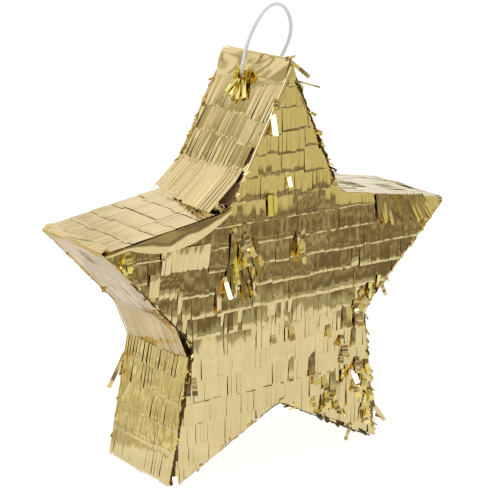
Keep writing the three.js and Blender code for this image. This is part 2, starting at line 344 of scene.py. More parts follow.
def add_studio():
    add_world()
    floor = flat_panel("floor", (-6, 6), (-6, 6), FLOOR_Z, floor_material())
    floor.visible_glossy = False
    add_glint()
    add_cards()
    add_light("overhead", (0.1, 0.3, 1.7), 1.4, 10)
    add_light("left_softbox", (-1.6, 0.2, 0.9), 0.9, 3)
    bpy.context.scene.view_settings.view_transform = "Standard"


# ---- materials

def foil_material(name, pale, deep, roughness):
    """Thin metal foil: two close golds in faint clouds, fine crinkles, and a tint per strip."""
    material = bpy.data.materials.new(name)
    tree = Tree(material)
    place = tree.place()
    tone = tree.add("Attribute", {}, attribute_name="tone").outputs["Fac"]
    share = tree.maths("MULTIPLY", tree.noise(place, 45, 3), tone)
    tree.paint({
        "Metallic": 1.0,
        "Roughness": roughness,
        "Base Color": tree.mix(share, (*pale, 1), (*deep, 1)),
        "Normal": tree.bump(tree.noise(place, 90, 1), 0.03, 0.0004),
    })
    return material


def board_material():
    """Brown kraft board with fibres and faint corrugation."""
    material = bpy.data.materials.new("kraft_board")
    tree = Tree(material)
    place = tree.place()
    fibres = tree.noise(place, 320, 6)
    flutes = tree.add("TexWave", {"Vector": place, "Scale": 60.0}, bands_direction="X").outputs["Fac"]
    tree.paint({
        "Roughness": 0.88,
        "Base Color": tree.mix(fibres, (0.33, 0.2, 0.09, 1), (0.5, 0.34, 0.18, 1)),
        "Normal": tree.bump(flutes, 0.15, 0.0004),
    })
    return material


def cord_material():
    """Milky white plastic cord, a little glossy, with faint mould marks along it."""
    material = bpy.data.materials.new("white_plastic_cord")
    tree = Tree(material)
    marks = tree.noise(tree.place(), 180, 3)
    tree.paint({
        "Roughness": 0.38,
        "Subsurface Weight": 0.25,
        "Subsurface Scale": 0.002,
        "Base Color": tree.mix(marks, (0.74, 0.75, 0.78, 1), (0.88, 0.89, 0.91, 1)),
    })
    return material


# ---- the hanging loop

def tube(name, points, material):
    data = bpy.data.curves.new(name, "CURVE")
    data.dimensions = "3D"
    data.bevel_depth = CORD_DIAMETER / 2
    data.bevel_resolution = 5
    data.resolution_u = 8
    data.use_fill_caps = True
    line = data.splines.new("BEZIER")
    line.bezier_points.add(len(points) - 1)
    for point, place in zip(line.bezier_points, points):
        point.co = place
        point.handle_left_type = "AUTO"
        point.handle_right_type = "AUTO"
    data.materials.append(material)
    return link(bpy.data.objects.new(name, data))


def add_loop(material):
    route = [Vector((x * MM, LOOP_Y, z * MM)) for x, z in LOOP_ROUTE_MM]
    loop = tube("loop_cord", route, material)
    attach(loop, "loop")
    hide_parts("hanging_loop")


def add_knot(material):
    low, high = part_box("loop_knot")
    middle = (low + high) / 2
    steps = 24
    around = (high.x - low.x - CORD_DIAMETER) / 2
    drop = high.z - low.z - CORD_DIAMETER
    wound = []
    for step in range(steps + 1):
        share = step / steps
        angle = KNOT_TURNS * 2 * math.pi * share
        x = around * math.cos(angle)
        y = middle.y + around * math.sin(angle)
        wound.append(Vector((x, y, high.z - CORD_DIAMETER / 2 - drop * share)))
    knot = tube("knot_cord", wound, material)
    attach(knot, "loop")
    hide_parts("loop_knot")


# ---- the star's surfaces

def polar(radius, angle):
    return Vector((radius * math.cos(angle), CENTRE_Z + radius * math.sin(angle)))


def tip_angle(tip):
    return math.pi / 2 + tip * TIP_STEP


class Edge:
    """One side of the star, from a tip to the middle of the rounded inner corner next to it."""

    def __init__(self, tip, turn):
        start = polar(TIP_RADIUS, tip_angle(tip))
        corner = polar(CORNER_RADIUS, tip_angle(tip) + turn * HALF_STEP)
        along = corner - start
        self.start = start
        self.tip = tip
        self.turn = turn
        self.straight = along.length - CORNER_ROUNDING / math.tan(CORNER_HALF_ANGLE)
        self.along = along.normalized()
        self.out = Vector((self.along.y, -self.along.x)) * turn
        self.arc_centre = start + self.along * self.straight + self.out * CORNER_ROUNDING
        self.length = self.straight + CORNER_ROUNDING * ARC_HALF_ANGLE
        self.climbs = self.along.y > 0

    def point(self, distance, height):
        """The place that far from the tip and that high over the board, in X and Z."""
        lift = height - LOFT
        if distance <= self.straight:
            return self.start + self.along * distance + self.out * lift
        swept = (distance - self.straight) / CORNER_ROUNDING * self.turn
        cos, sin = math.cos(swept), math.sin(swept)
        outward = Vector((
            self.out.x * cos + self.out.y * sin,
            self.out.y * cos - self.out.x * sin,
        ))
        return self.arc_centre - outward * (CORNER_ROUNDING - lift)

    def place(self, across, distance, height):
        flat = self.point(distance, height)
        return (flat.x, across, max(FOIL, flat.y))


def face_place(facing):
    def place(across, up, height):
        return (across, facing * (BOARD_Y + height), max(FOIL, up))
    return place


def star_outline(crest):
    """The outline of the foil on a face, whose top tip stands up by a crest."""
    points = []
    steps = range(ARC_STEPS + 1)
    for tip in range(len(TIPS)):
        ahead = Edge(tip, 1)
        if tip in BLUNT_TIPS:
            points.extend(Edge(tip, turn).point(BLUNT, LOFT) for turn in (-1, 1))
        else:
            points.append(polar(TIP_RADIUS + (crest if tip == 0 else 0), tip_angle(tip)))
        if tip == 0:
            points.append(ahead.point(CREST_RUN, LOFT))
        onward = Edge((tip + 1) % len(TIPS), -1)
        arc = ahead.length - ahead.straight
        points.extend(ahead.point(ahead.straight + arc * step / ARC_STEPS, LOFT) for step in steps)
        points.extend(onward.point(onward.length - arc * step / ARC_STEPS, LOFT) for step in steps[1:])
    points.append(Edge(0, -1).point(CREST_RUN, LOFT))
    return points


OUTLINES = {-1: star_outline(CREST), 1: star_outline(REAR_CREST)}


def column_spans(facing, x):
    """The stretches of the star above and below each other at x, as (low, high) pairs."""
    outline = OUTLINES[facing]
    heights = []
    for a, b in zip(outline, outline[1:] + outline[:1]):
        if (a.x <= x) != (b.x <= x):
            heights.append(a.y + (b.y - a.y) * (x - a.x) / (b.x - a.x))
    heights.sort()
    return list(zip(heights[::2], heights[1::2]))


def span_near(facing, x, z, default):
    """The stretch of the star at x that is nearest to the height z."""
    spans = column_spans(facing, x)
    if not spans:
        return default
    return min(spans, key=lambda span: max(span[0] - z, z - span[1], 0))


# ---- sheets of foil

class Foil:
    """Gathers thin closed sheets into one mesh."""

    def __init__(self):
        self.points = []
        self.faces = []
        self.tones = []

    def sheet(self, upper, lower, tone):
        """A thin closed sheet between two grids of points, given as lists of equal rows."""
        rows, columns = len(upper), len(upper[0])
        first = len(self.points)
        for grid in (upper, lower):
            for row in grid:
                self.points.extend(row)
        self.tones.extend([tone] * (2 * rows * columns))

        def at(side, row, column):
            return first + (side * rows + row) * columns + column

        for r in range(rows - 1):
            for c in range(columns - 1):
                for side in (0, 1):
                    quad = (at(side, r, c), at(side, r, c + 1), at(side, r + 1, c + 1), at(side, r + 1, c))
                    self.faces.append(quad if side == 0 else quad[::-1])
        for r in range(rows - 1):
            for c in (0, columns - 1):
                self.faces.append((at(0, r, c), at(0, r + 1, c), at(1, r + 1, c), at(1, r, c)))
        for c in range(columns - 1):
            for r in (0, rows - 1):
                self.faces.append((at(0, r, c), at(1, r, c), at(1, r, c + 1), at(0, r, c + 1)))

    def lift_sheet(self, grid, place, tone):
        """A sheet over a grid of (across, along, height), placed on one of the star's faces."""
        upper = [[place(a, b, h + FOIL / 2) for a, b, h in row] for row in grid]
        lower = [[place(a, b, h - FOIL / 2) for a, b, h in row] for row in grid]
        self.sheet(upper, lower, tone)

    def make(self, name, material, body="star", nodes=()):
        mesh = bpy.data.meshes.new(name)
        mesh.from_pydata(self.points, [], self.faces)
        mesh.update()
        mesh.attributes.new("tone", "FLOAT", "POINT").data.foreach_set("value", self.tones)
        turn_out(mesh)
        mesh.shade_smooth()
        mesh.set_sharp_from_angle(angle=math.radians(40))
        mesh.materials.append(material)
        made = link(bpy.data.objects.new(name, mesh))
        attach(made, body)
        if nodes:
            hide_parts(*nodes)


def turn_out(mesh):
    work = bmesh.new()
    work.from_mesh(mesh)
    bmesh.ops.recalc_face_normals(work, faces=work.faces)
    work.to_mesh(mesh)
    work.free()


def blend(a, b, share):
    return a + (b - a) * share


def ripple(a, b, seed):
    """A smooth wandering value between about -1 and 1."""
    slow = math.sin(a * 61 + seed * 1.7 + 1.3 * math.sin(b * 47 + seed))
    return (slow + 0.6 * math.sin(a * 137 - b * 71 + seed * 2.9)) / 1.6


# ---- cut strips

class Manner:
    """How much the strips of a face differ: their turn, lift, hems, slits and lean."""

    def __init__(
        self, turn=0.03, lift=0.14, hem=0.35, slits=0.35, bow=0.05, lean=0.0, rise=1.0, curl=1.0,
        camber=0.04, lifted=0.004, flames=0.0,
    ):
        self.turn = turn
        self.camber = camber * MM
        self.lifted = lifted
        self.flames = flames
        self.lift = lift * MM
        self.hem = hem * MM
        self.slits = slits
        self.bow = bow * MM
        self.lean = lean
        self.rise = rise
        self.curl = curl


class Fringe:
    """Cuts strips from left to right along a row. Strips that lie side by side share much of
    how they hang, because the foil was cut and pressed down in bundles."""

    def __init__(self, rng, manner):
        self.rng = rng
        self.manner = manner
        self.left = 0

    def next_strip(self):
        rng, manner = self.rng, self.manner
        self.opens = self.left == 0
        if self.opens:
            self.left = rng.randint(2, 6)
            self.turn = rng.gauss(0, manner.turn)
            self.lift = rng.gauss(0, manner.lift)
            self.hem = rng.gauss(0, manner.hem)
            self.bow = manner.bow * rng.uniform(0.2, 1.8)
            if rng.random() < manner.flames:
                self.bow = rng.uniform(0.25, 0.5) * MM
                self.lift -= rng.uniform(0.3, 0.9) * MM
        self.left -= 1
        slit = self.opens and rng.random() < manner.slits
        self.slit = rng.uniform(0.3, 1.6) * MM if slit else 0.0
        return rng.uniform(STRIP_LOW, STRIP_HIGH)

    def hang(self, ruffle=0.0):
        """One strip's own hang, as the values that cut_strip reads."""
        rng, manner = self.rng, self.manner
        values = {
            "turn": self.turn + rng.gauss(0, manner.turn * 0.5),
            "twist": 0.0,
            "root": 0.0,
            "lift": self.lift + rng.gauss(0, manner.lift * 0.7),
            "bow": self.bow + rng.gauss(0, manner.bow * 0.5),
            "curl": -HEM_CURL * manner.curl * rng.uniform(0.5, 1.4),
            "camber": rng.gauss(0, manner.camber),
            "swing": rng.gauss(0, 0.12) * MM,
            "hem": self.hem + rng.gauss(0, 0.12 * MM),
            "tone": min(1.0, max(0.0, rng.gauss(0.45, 0.2))),
        }
        if rng.random() < manner.lifted:
            values["lift"] += rng.uniform(0.8, 2.6) * MM
        if rng.random() < ruffle:
            values["turn"] += rng.uniform(-0.5, 0.5)
            values["twist"] = rng.uniform(-0.9, 0.9)
            values["lift"] += rng.uniform(0.4, 3.6) * MM
            values["bow"] += rng.uniform(-0.6, 1.5) * MM
            values["curl"] = rng.uniform(-0.5, 2.2) * MM
            values["swing"] = rng.uniform(-2.2, 2.2) * MM
        return values


def cut_strip(foil, place, left, right, manner, values, slit=0.0):
    """One strip. left and right are (across, root, hem) of its two edges."""
    run = (left[2] + right[2] - left[1] - right[1]) / 2
    root = ROOT_LIFT * manner.rise + values["root"]
    hem = HEM_LIFT * manner.rise + values["lift"]
    grid = []
    for t in STATIONS:
        drift = manner.lean * abs(run) * t + values["swing"] * t * t
        height = blend(root, hem, t) + values["bow"] * 4 * t * (1 - t)
        if t > CURL_START:
            height += values["curl"] * ((t - CURL_START) / (1 - CURL_START)) ** 2
        turn = values["turn"] * min(1.0, 0.3 + t) + values["twist"] * t * t
        x0 = left[0] + slit * t
        half = max(0.0, right[0] - x0) / 2
        middle = (x0 + right[0]) / 2 + drift
        left_along = blend(left[1], left[2], t)
        right_along = blend(right[1], right[2], t)
        row = []
        for side in (-1, 0, 1):
            across = middle + side * half * math.cos(turn)
            along = blend(left_along, right_along, (side + 1) / 2)
            lift = height + side * half * math.sin(turn) + values["camber"] * (1 - abs(side))
            row.append((across, along, max(LEAST_LIFT, lift)))
        grid.append(row)
    foil.lift_sheet(grid, place, values["tone"])


def ruffle_at(spots, across, along):
    """How disturbed the foil is at a place, from 0 to 1."""
    strongest = 0.0
    for a, b, reach, strength in spots:
        far = math.hypot(across - a * MM, along - b * MM) / (reach * MM)
        strongest = max(strongest, strength * max(0.0, min(1.0, 2 * (1 - far))))
    return strongest


# ---- rows on the front and back

BARE_GAP = 4.2 * MM
BARE_BELOW = 116 * MM
BARE_WIDE_ABOVE = 52 * MM
STRAY_SHARE = 0.05
BOW_FROM = 120 * MM
BOW_RANGE_MM = (0.12, 0.42)
BOW_ROOT = 0.2 * MM
BOW_RISE = 0.04
BOW_DROP = 1.4 * MM
BOW_CAMBER_MM = 0.12
RAISE_RANGE_MM = (0.8, 2.4)
RAISE_TURN = 0.1
RAISE_SWING_MM = 0.6

# Places on the front where the strips bow out: x, z, reach and strength
BOWED = (
    (-104, 174, 15, 1.0),
    (-93, 174, 15, 1.0),
    (-82, 174, 15, 1.0),
    (-116, 158, 9, 0.5),
    (-108, 143, 8, 0.6),
    (-90, 128, 14, 0.5),
    (-50, 118, 20, 0.3),
    (-5, 120, 22, 0.3),
    (40, 108, 18, 0.25),
    (80, 118, 14, 0.5),
    (-40, 104, 30, 0.25),
)

# Places on the front where single strips stand away from the rest: x, z, reach and strength
RAISED = (
    (84, 62, 32, 0.3),
    (62, 46, 24, 0.25),
    (94, 28, 24, 0.3),
    (70, 96, 26, 0.2),
    (24, 84, 24, 0.12),
)

HATCH_LOW, HATCH_HIGH = (corner.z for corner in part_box("flap_fringe"))
HATCH_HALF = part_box("flap_fringe")[1].x + STRIP_HIGH


def parts_at(facing, x, z):
    """True where the filler flap's foil meets the foil above or below it."""
    near = min(abs(z - HATCH_LOW), abs(z - HATCH_HIGH)) < FACE_ROW / 4
    return facing > 0 and near and abs(x) < HATCH_HALF


def in_bare_gap(facing, x, z):
    """True beside the front edge of the left leg, where the foil falls short of the edge."""
    edge = Edge(2, -1)
    edge_x = edge.start.x + edge.along.x / edge.along.y * (z - edge.start.y)
    wide = BARE_GAP if z > BARE_WIDE_ABOVE else BARE_GAP / 3
    return facing < 0 and z < BARE_BELOW and 0 <= x - edge_x < wide


def bow_out(values, spots, across, along, rng):
    """Strips that bow out where the foil is loose, so that they catch light along their lower half."""
    if rng.random() < ruffle_at(spots, across, along):
        over = max(0.0, along - BOW_FROM)
        values["bow"] = rng.uniform(*BOW_RANGE_MM) * MM
        values["root"] = BOW_ROOT + BOW_RISE * over
        values["lift"] = -BOW_DROP
        values["curl"] = 0.0
        values["camber"] = rng.uniform(0.0, BOW_CAMBER_MM) * MM


def stand_out(values, spots, across, along, rng):
    """Single strips whose hems stand away from the rest, so that they reflect the far floor."""
    if rng.random() < ruffle_at(spots, across, along):
        values["lift"] += rng.uniform(*RAISE_RANGE_MM) * MM
        values["turn"] += rng.gauss(0, RAISE_TURN)
        values["swing"] = rng.gauss(0, RAISE_SWING_MM) * MM


def row_strip(foil, fringe, place, facing, row, x0, x1, span, spots):
    """The strip between x0 and x1 of a row, cut to the star's outline."""
    low, high = row
    middle = (x0 + x1) / 2
    tuck = 0 if parts_at(facing, middle, high) else TUCK
    drop = -STRIP_GAP if parts_at(facing, middle, low) else OVERHANG
    probe = (max(low, span[0]) + min(high, span[1])) / 2
    if in_bare_gap(facing, middle, probe):
        return
    values = fringe.hang(ruffle_at(spots, middle, (low + high) / 2))
    if facing < 0:
        bow_out(values, BOWED, middle, (low + high) / 2, fringe.rng)
        stand_out(values, RAISED, middle, (low + high) / 2, fringe.rng)
    stray = fringe.rng.uniform(0.8, 2.6) * MM if fringe.rng.random() < STRAY_SHARE else 0.0
    edges = []
    for x in (x0, x1):
        bottom, top = span_near(facing, x, probe, span)
        root = min(high + tuck, top - TOP_INSET)
        hem = max(low - drop + values["hem"], bottom - stray, FLOOR_GAP)
        edges.append((x, max(root, hem + SHORTEST), hem))
    cut_strip(foil, place, edges[0], edges[1], fringe.manner, values, fringe.slit)


def face_rows(name, node, facing, seed, material, manner, body="star", spots=()):
    """The strips of every row in a node's box."""
    low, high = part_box(node)
    fringe = Fringe(random.Random(seed), manner)
    foil = Foil()
    place = face_place(facing)
    count = max(1, round((high.z - low.z) / FACE_ROW))
    for number in range(count):
        row = [blend(low.z, high.z, order / count) for order in (number, number + 1)]
        x = low.x
        while x < high.x:
            x1 = min(x + fringe.next_strip(), high.x)
            for span in column_spans(facing, (x + x1) / 2):
                if min(row[1], span[1]) - max(row[0], span[0]) > SHORTEST:
                    row_strip(foil, fringe, place, facing, row, x, x1 - SEAM, span, spots)
            x = x1
        add_header(foil, place, facing, row, low.x, high.x)
    foil.make(name, material, body, [node])


def add_header(foil, place, facing, row, x_low, x_high):
    """The uncut edges that a row of fringe is glued down by, one for each arm it crosses."""
    low, high = row
    steps = max(2, round((x_high - x_low) / (4 * MM)))
    runs = {}
    for step in range(steps + 1):
        x = blend(x_low, x_high, step / steps)
        x = min(max(x, x_low + STRIP_GAP), x_high - STRIP_GAP)
        tuck = 0 if parts_at(facing, x, high) else TUCK
        for order, (bottom, top) in enumerate(column_spans(facing, x)):
            upper = min(high + tuck, top - TOP_INSET)
            lower = max(min(high - 3 * MM, upper - 4 * MM), bottom + STRIP_GAP, low)
            if upper - lower > SHORTEST:
                runs.setdefault(order, []).append((step, x, lower, upper))
    for run in runs.values():
        for piece in unbroken(run):
            grid = [[(x, lower, HEADER_LIFT), (x, upper, HEADER_LIFT)] for _, x, lower, upper in piece]
            foil.lift_sheet(grid, place, 0.5)


def unbroken(run):
    """Splits a list of numbered entries where a number is missing."""
    pieces = [[run[0]]]
    for before, entry in zip(run, run[1:]):
        if entry[0] == before[0] + 1:
            pieces[-1].append(entry)
        else:
            pieces.append([entry])
    return [piece for piece in pieces if len(piece) > 1]


# ---- rows on the sides

SIDES = {
    "top_arm_left": (0, 1, Manner(turn=0.05, hem=0.8, slits=0.3, lean=0.03, curl=2.0, camber=0.11)),
    "top_arm_right": (0, -1, Manner(turn=0.05, hem=0.4)),
    "left_arm_upper": (1, -1, Manner(turn=0.018, lift=0.06, hem=1.6, slits=0.12, rise=0.75, curl=0.4)),
    "left_arm_lower": (1, 1, Manner(turn=0.03, lift=0.1, hem=0.9, slits=0.15, rise=0.8, curl=0.6)),
    "left_leg_outer": (2, -1, Manner(turn=0.07, lift=0.2, hem=0.4, slits=0.4, curl=3.0, camber=0.15)),
    "left_leg_inner": (2, 1, Manner()),
    "right_leg_inner": (3, -1, Manner()),
    "right_leg_outer": (3, 1, Manner(turn=0.05)),
    "right_arm_lower": (4, -1, Manner()),
    "right_arm_upper": (4, 1, Manner(turn=0.02, hem=1.4, slits=0.15, rise=0.75, curl=0.4)),
}

FRONT_SPREAD = {"left_arm_upper": 1.083, "right_arm_upper": 1.05, "top_arm_left": 1.04}
SIDE_SPREAD = 1.028
REAR_SPREAD = 1.062
SIDE_BASE = 0.9 * MM
SIDE_HEADER_SHARE = 0.45
FLARED = ("top_arm_left", "left_arm_lower")
FLARE_LIFT = 0.8 * MM
FLARE_RUN = 14 * MM
FLARE_REACH = 12 * MM
FLARE_TURN = 1.4
FLARE_CAMBER = 1.6
NARROWED = {"top_arm_left": 5 * MM}


def flared_place(edge):
    """Places on a side whose lowest strips run straight over the inner corner to the next side."""
    onward = Edge((edge.tip + 1) % len(TIPS), -1)
    bend = edge.straight - FLARE_RUN
    length = edge.length - bend

    def place(across, distance, height):
        if distance <= bend:
            return edge.place(across, distance, height)
        share = (distance - bend) / length
        landing = onward.point(onward.length - FLARE_REACH, height + FLARE_LIFT)
        flat = edge.point(bend, height).lerp(landing, share)
        return (flat.x, across, flat.y)
    return place


def cap_reach(tip):
    return TOP_RIDGE_CAP if tip == 0 else RIDGE_CAP


def row_ends(edge, row, near, far):
    """Where a side's row of strips starts and ends along the side, and which way its hems lie."""
    blunt = row == 0 and edge.tip in BLUNT_TIPS
    if not edge.climbs:
        root = near - BLUNT / 2 if blunt else near - TUCK
        return root, min(far + OVERHANG, edge.length), -1
    hem = near - OVERHANG
    if blunt:
        hem = near - BLUNT / 2
    elif row == 0 and edge.start.y < 0:
        hem = (FLOOR_GAP - edge.start.y) / edge.along.y
    return min(far + TUCK, edge.length), hem, 1


def side_row(foil, fringe, edge, start, high, ends, flared):
    """One row of strips across a side, from the front to the back."""
    root, hem, outward = ends
    place = flared_place(edge) if flared else edge.place
    y = start
    while y < high - STRIP_GAP:
        y1 = min(y + fringe.next_strip(), high)
        values = fringe.hang()
        values["root"] = SIDE_BASE
        values["lift"] += SIDE_BASE
        end = min(hem + outward * values["hem"], edge.length)
        if flared:
            end = edge.length + 2 * values["hem"]
            values["turn"] *= FLARE_TURN
            values["camber"] *= FLARE_CAMBER
        cut_strip(foil, place, (y, root, end), (y1 - SEAM, root, end), fringe.manner, values, fringe.slit)
        y = y1


def side_rows(key, seed, material):
    """The strips on one side of the star, from the foil over the tip to the inner corner."""
    tip, turn, manner = SIDES[key]
    node = f"side_fringe_{key}"
    edge = Edge(tip, turn)
    low, high = (corner.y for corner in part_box(node))
    low *= FRONT_SPREAD.get(key, SIDE_SPREAD)
    high *= REAR_SPREAD
    reach = cap_reach(tip)
    rows = round((edge.straight - reach) / SIDE_ROW)
    pitch = (edge.straight - reach) / rows
    fringe = Fringe(random.Random(seed), manner)
    foil = Foil()
    for row in range(rows):
        last = row == rows - 1
        near = reach + pitch * row
        far = edge.length if last else near + pitch
        ends = row_ends(edge, row, near, far)
        inset = NARROWED.get(key, 0) if row > 1 else 0
        side_row(foil, fringe, edge, low + STRIP_GAP + inset, high, ends, last and key in FLARED)
        add_side_header(foil, edge, low + inset, high, ends)
    foil.make(f"foil_{key}", material, "star", [node])


def add_side_header(foil, edge, y_low, y_high, ends):
    """The uncut edge that a side's row is glued down by."""
    root, hem, _ = ends
    backing = blend(root, hem, SIDE_HEADER_SHARE)
    steps = 4
    grid = []
    for step in range(steps + 1):
        along = blend(root, backing, step / steps)
        height = HEADER_LIFT + SIDE_BASE
        grid.append([(y_low + STRIP_GAP, along, height), (y_high - STRIP_GAP, along, height)])
    foil.lift_sheet(grid, edge.place, 0.5)


# ---- plain foil

CREASE = ((9 * MM, 17 * MM), (-21 * MM, 1 * MM))
CREASE_HALF = 1.5 * MM
FINE_FOLD = (84, 26)
COARSE_FOLD = (34, 12)
FOLD_OVERLAP = 1.5 * MM
ROLL_PLACE = (1.3 * MM, 1.7 * MM)
ROLL_STEP = 2.2 * MM
ROLL_TURNS = 6
BAND_HEIGHT = 4.5 * MM
BAND_DROP = 1.3 * MM
BAND_SLOPE = 0.135
BAND_STEPS = (46, 10)
BAND_NARROW = 3
BAND_WIDE = 15.5
BAND_TAPER = 75
BAND_MIDDLE = 0.57


def crest_point(edge, distance, height, crest):
    """A place on a side of the star whose foil stands up into a crest at the tip."""
    if distance >= CREST_RUN:
        return edge.point(distance, height)
    inset = (LOFT - height) / math.sin(TIP_HALF_ANGLE)
    top = polar(TIP_RADIUS - inset + crest, tip_angle(edge.tip))
    return top.lerp(edge.point(CREST_RUN, height), distance / CREST_RUN)


def fold_point(tip, side, distance, height, rounding, crest):
    """A place on foil folded over a tip, a distance from the ridge down one side."""
    edge = Edge(tip, side)
    if distance >= rounding:
        return crest_point(edge, distance, height, crest)
    t = 0.5 + distance / rounding / 2
    ends = crest_point(Edge(tip, -side), rounding, height, crest) * (1 - t) ** 2
    ends += crest_point(edge, rounding, height, crest) * t ** 2
    return ends + crest_point(edge, 0, height, crest) * 2 * t * (1 - t)


class Fold:
    """How the foil over a tip is folded: how round, how wavy, how high, and its crest and crease."""

    def __init__(self, rounding, wave, lift, crest=(0, 0), bulge=0.0, crease=0.0):
        self.rounding = rounding * MM
        self.wave = wave * MM
        self.lift = lift * MM
        self.crest = [end * MM for end in crest]
        self.bulge = bulge * MM
        self.crease = crease * MM
        self.across, self.down = FINE_FOLD if crease else COARSE_FOLD


def crease_height(fold, y, down):
    """A sharp pull from the tuft up to the ridge, on the left of the top tip's foil."""
    (y0, down0), (y1, down1) = CREASE
    run = Vector((y1 - y0, down1 - down0))
    here = Vector((y - y0, down - down0))
    share = here.dot(run) / run.length_squared
    if not 0 < share < 1:
        return 0.0
    off = (here - run * share).length
    return fold.crease * max(0.0, 1 - off / CREASE_HALF) * min(1, 4 * (1 - share))


def ridge_row(tip, fold, seed, y, back, shift):
    """One line of foil folded over a tip, from one side over the ridge and down the other."""
    reach = cap_reach(tip) + FOLD_OVERLAP
    rise = blend(*fold.crest, back)
    down = fold.down
    row = []
    for j in range(-down, down + 1):
        share = abs(j) / down
        side = 1 if j > 0 else -1
        wave = fold.wave * (ripple(y * 1.6, side * share * 0.09, seed) - 0.4)
        height = fold.lift - 0.4 * MM * share ** 4 + wave * min(1, 3 * share) + shift
        if side > 0:
            height += fold.bulge * math.sin(math.pi * share ** 0.7) ** 2 * back ** 5
            height += crease_height(fold, y, share * reach)
        point = fold_point(tip, side, share * reach, height, fold.rounding, rise)
        row.append((point.x, y, max(FOIL + shift, point.y)))
    return row


def ridge_foil(tip, material, seed, fold):
    """A strip of plain foil folded over a tip, creased and a little wavy."""
    name = TIPS[tip]
    node = f"ridge_foil_{name}"
    low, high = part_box(node)
    foil = Foil()
    grids = []
    for shift in (FOIL / 2, -FOIL / 2):
        grid = []
        for i in range(fold.across + 1):
            back = i / fold.across
            grid.append(ridge_row(tip, fold, seed, blend(low.y, high.y, back), back, shift))
        grids.append(grid)
    foil.sheet(grids[0], grids[1], 0.4 if tip == 0 else 1.0)
    foil.make(f"foil_ridge_{name}", material, "star", [node])


def edge_roll(foil, tip, turn, facing, start, end, radius, crumple, seed, place=ROLL_PLACE):
    """The foil's own edge, rolled over an edge of the box between a side and a face. start, end
    and radius are in mm."""
    edge = Edge(tip, turn)
    start, end = start * MM, min(end * MM, edge.length)
    steps = max(4, round((end - start) / ROLL_STEP))
    rng = random.Random(seed)
    grids = [[], []]
    for step in range(steps + 1):
        distance = blend(start, end, step / steps)
        swell = 1 + crumple * rng.uniform(-0.45, 0.45)
        shift = crumple * rng.uniform(-0.5, 0.5) * MM
        rows = ([], [])
        for part in range(ROLL_TURNS + 1):
            angle = math.radians(-50 + 190 * part / ROLL_TURNS)
            ragged = 1 + crumple * rng.uniform(-0.25, 0.25)
            for row, inset in zip(rows, (0, FOIL)):
                r = radius * MM * swell * ragged - inset
                across = facing * (BOARD_Y + place[0] + r * math.sin(angle))
                height = place[1] + shift + r * math.cos(angle)
                flat = edge.point(distance, height)
                row.append((flat.x, across, max(FOIL, flat.y)))
        grids[0].append(rows[0])
        grids[1].append(rows[1])
    foil.sheet(grids[0], grids[1], 0.4)


def band_width(share):
    """How wide the band is at a share of the arm's length, in mm."""
    return max(BAND_NARROW, BAND_WIDE - BAND_TAPER * (share - BAND_MIDDLE) ** 2)


def arm_band(material, edge, seed):
    """The uncut foil along the upper edge of an arm, on the front: flat above, turned in below."""
    along, down = BAND_STEPS
    start, end = 5 * MM, edge.length - 1 * MM
    grid = []
    for i in range(along + 1):
        distance = blend(start, end, i / along)
        width = band_width(i / along) * MM
        bend = 0.42 + 0.2 * ripple(distance * 1.1, 0.3, seed) + 0.06 * ripple(distance * 4, 0.1, seed)
        wave = 0.12 * MM * ripple(distance, 0.2, seed)
        row = []
        for j in range(down + 1):
            v = j / down
            point = edge.point(distance, LOFT - BAND_DROP - v * width)
            inward = max(0.0, v - bend) * width
            row.append((point.x, point.y, BAND_HEIGHT + wave - BAND_SLOPE * inward))
        grid.append(row)
    foil = Foil()
    foil.lift_sheet(grid, face_place(-1), 0.3)
    foil.make("foil_arm_band", material)


# ---- the tuft and loose strips

TUFT_CURLS = 60
TUFT_TAILS = 9


def free_strip(foil, start, towards, up, length, width, sag, twist, tone):
    """A loose strip from a point, bending away from up as it goes."""
    towards, up = Vector(towards).normalized(), Vector(up).normalized()
    steps = 8
    upper, lower = [], []
    for step in range(steps + 1):
        t = step / steps
        middle = Vector(start) + towards * length * t - up * sag * t * t
        ahead = (towards * length - up * 2 * sag * t).normalized()
        side = ahead.cross(up).normalized()
        side.rotate(Quaternion(ahead, twist * (0.2 + t)))
        normal = side.cross(ahead)
        left, right = middle - side * width / 2, middle + side * width / 2
        upper.append([tuple(left + normal * FOIL / 2), tuple(right + normal * FOIL / 2)])
        lower.append([tuple(left - normal * FOIL / 2), tuple(right - normal * FOIL / 2)])
    foil.sheet(upper, lower, tone)


def add_tatters(foil, tip, turn, facing, start, end, count, reach, seed):
    """Short torn strips that hang out over an edge between a side and a face. start, end and
    reach are in mm."""
    edge = Edge(tip, turn)
    rng = random.Random(seed)
    downhill = -1 if edge.climbs else 1
    ahead = upright(edge.along) * downhill
    out = upright(edge.out)
    face = Vector((0, facing, 0))
    for _ in range(count):
        distance = min(rng.uniform(start * MM, end * MM), edge.length)
        across = facing * (BOARD_Y + rng.uniform(0.4, 2.2) * MM)
        root = Vector(edge.place(across, distance, 1.4 * MM))
        towards = ahead + out * rng.uniform(0, 0.7) + face * rng.uniform(-0.1, 0.35)
        length = reach * MM * rng.uniform(0.8, 1.9)
        if root.z + towards.normalized().z * length < FLOOR_GAP:
            continue
        width = rng.uniform(1.4, 3.4) * MM
        sag = rng.uniform(-0.5, 1.2) * MM
        free_strip(foil, root, towards, face + out, length, width, sag, rng.uniform(-1.2, 1.2), 0.6)


